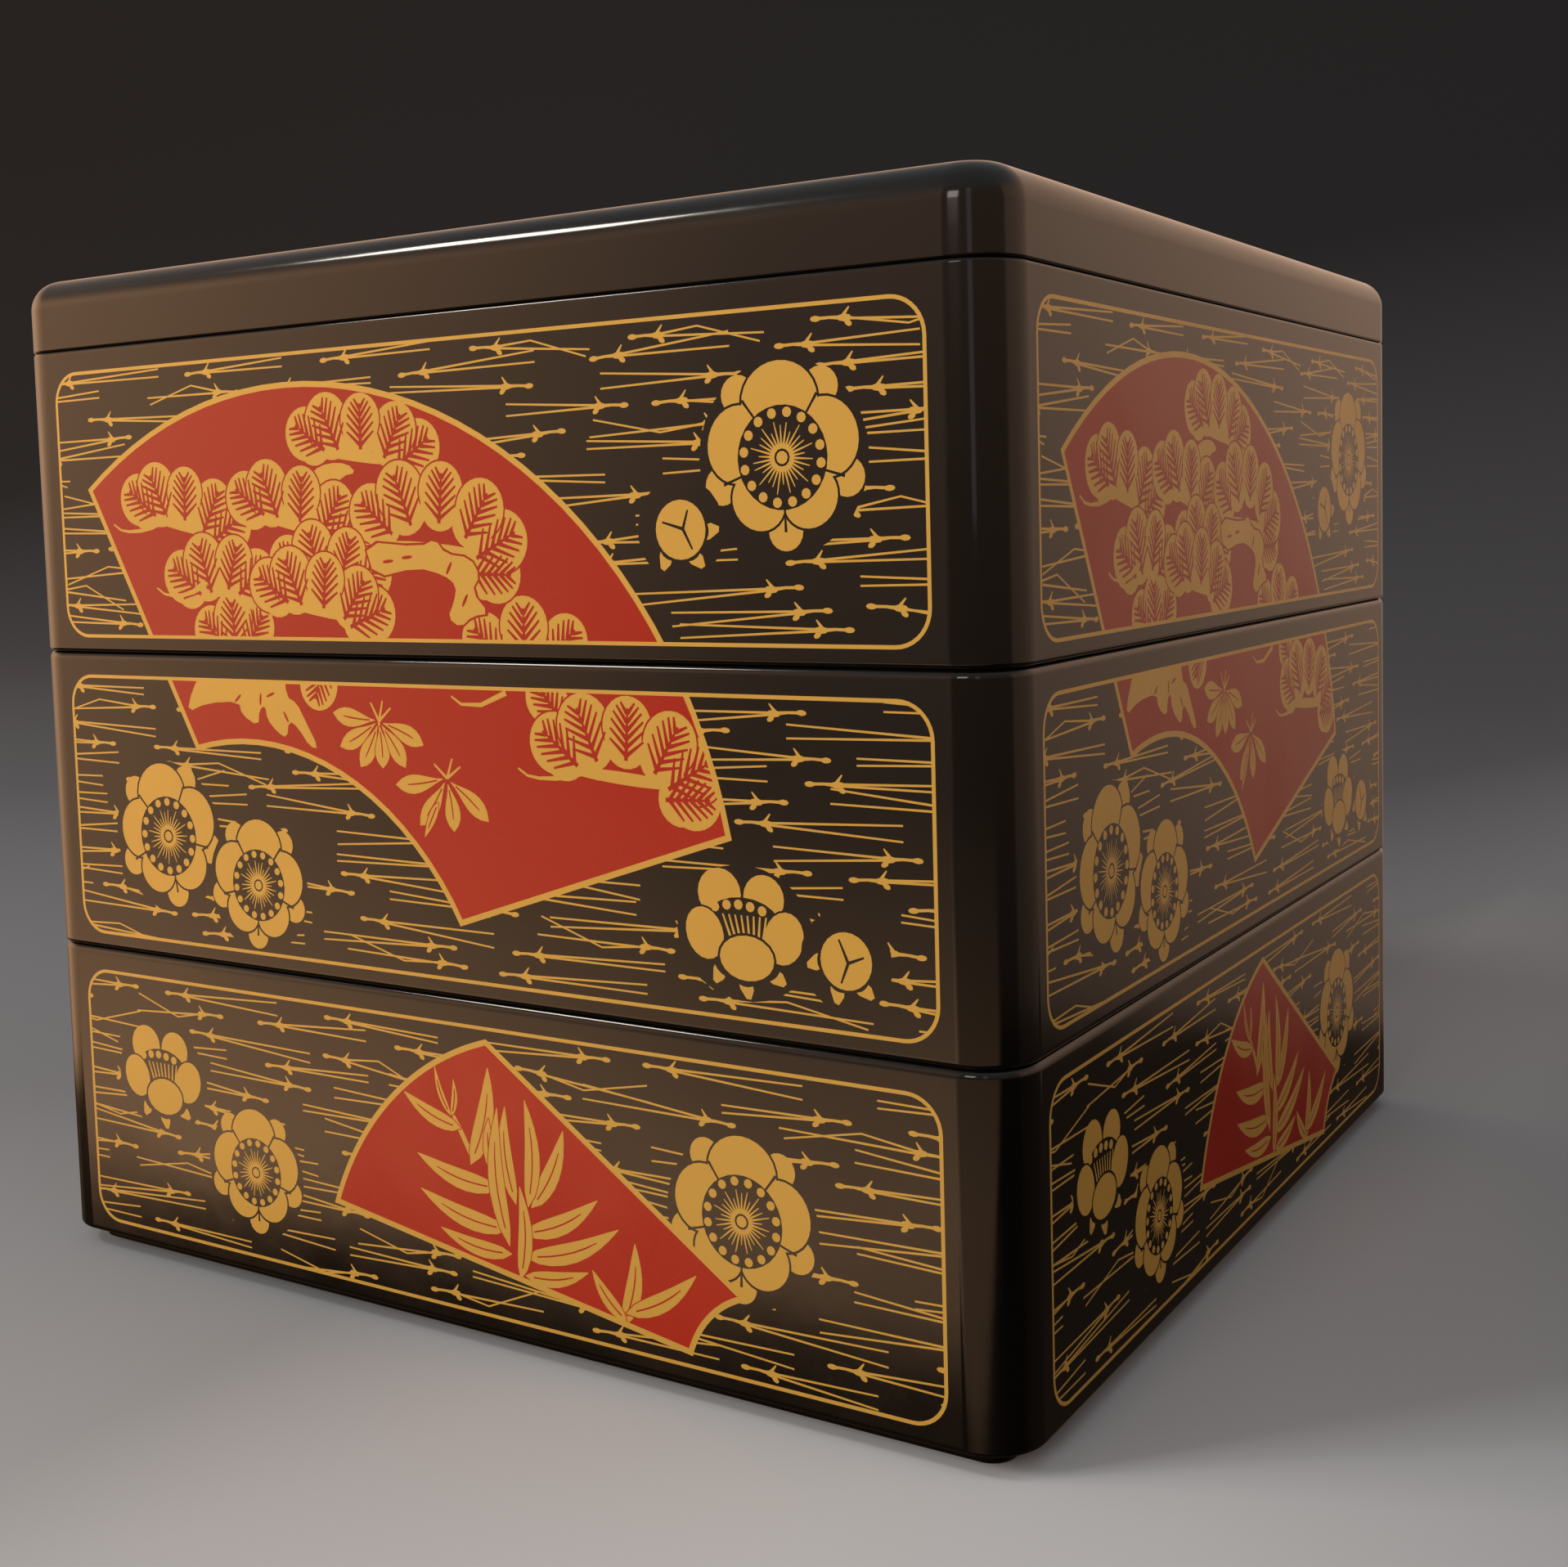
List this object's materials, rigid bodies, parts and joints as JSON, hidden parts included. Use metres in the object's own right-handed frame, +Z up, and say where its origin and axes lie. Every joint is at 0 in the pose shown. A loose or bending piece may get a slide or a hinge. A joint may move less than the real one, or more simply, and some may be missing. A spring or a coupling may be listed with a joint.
{
  "type": "tiered lacquer box",
  "caption": "Square stacking food box of open lacquer tiers under a flush lift-off lid, black with gold and red painted fans, plum, pine and bamboo.",
  "frame": {"origin": "on the table, under the middle of the stack", "axes": "+Z up through the stack, -Y out of the front face, +X out of the right-hand face"},
  "size_m": [0.196, 0.196, 0.1772],
  "materials": {
    "bottom_tier_lacquer": "polished black lacquer with gold and red painting",
    "middle_tier_lacquer": "polished black lacquer with gold and red painting",
    "top_tier_lacquer": "polished black lacquer with gold and red painting",
    "lid_lacquer": "polished black lacquer"
  },
  "bodies": {
    "root": {"bottom_tier": "bottom_tier_lacquer", "middle_tier": "middle_tier_lacquer", "top_tier": "top_tier_lacquer", "lid": "lid_lacquer"}
  },
  "joints": []
}
